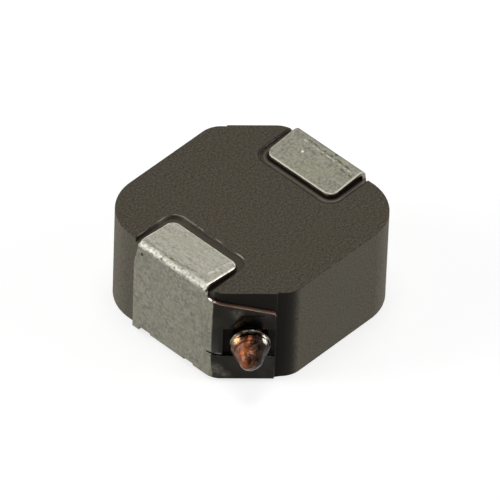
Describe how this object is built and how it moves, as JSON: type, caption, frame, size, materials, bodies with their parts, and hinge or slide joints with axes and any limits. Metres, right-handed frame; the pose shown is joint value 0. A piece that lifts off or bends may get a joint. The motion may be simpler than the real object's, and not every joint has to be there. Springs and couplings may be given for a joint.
{
  "type": "shielded smd inductor",
  "caption": "Moulded surface-mount power inductor: a pressed powder block round a wire coil, with bent tinned terminals and the wire ends welded to them at two corners.",
  "frame": {"origin": "middle of the plain face that the part lies on, with the solder pads up", "axes": "+Z out of the solder pad side, +X from the front terminal to the rear one, +Y toward a bare side face"},
  "size_m": [0.0106, 0.0102, 0.0054],
  "materials": {
    "pressed_powder": "matte",
    "tinned_sheet": "satin",
    "enamelled_wire": "glossy",
    "melted_copper": "glossy"
  },
  "bodies": {
    "root": {"core_body": "pressed_powder", "winding": "enamelled_wire", "terminal_front": "tinned_sheet", "terminal_rear": "tinned_sheet", "weld_bead_front": "melted_copper", "weld_bead_rear": "melted_copper"}
  },
  "joints": []
}
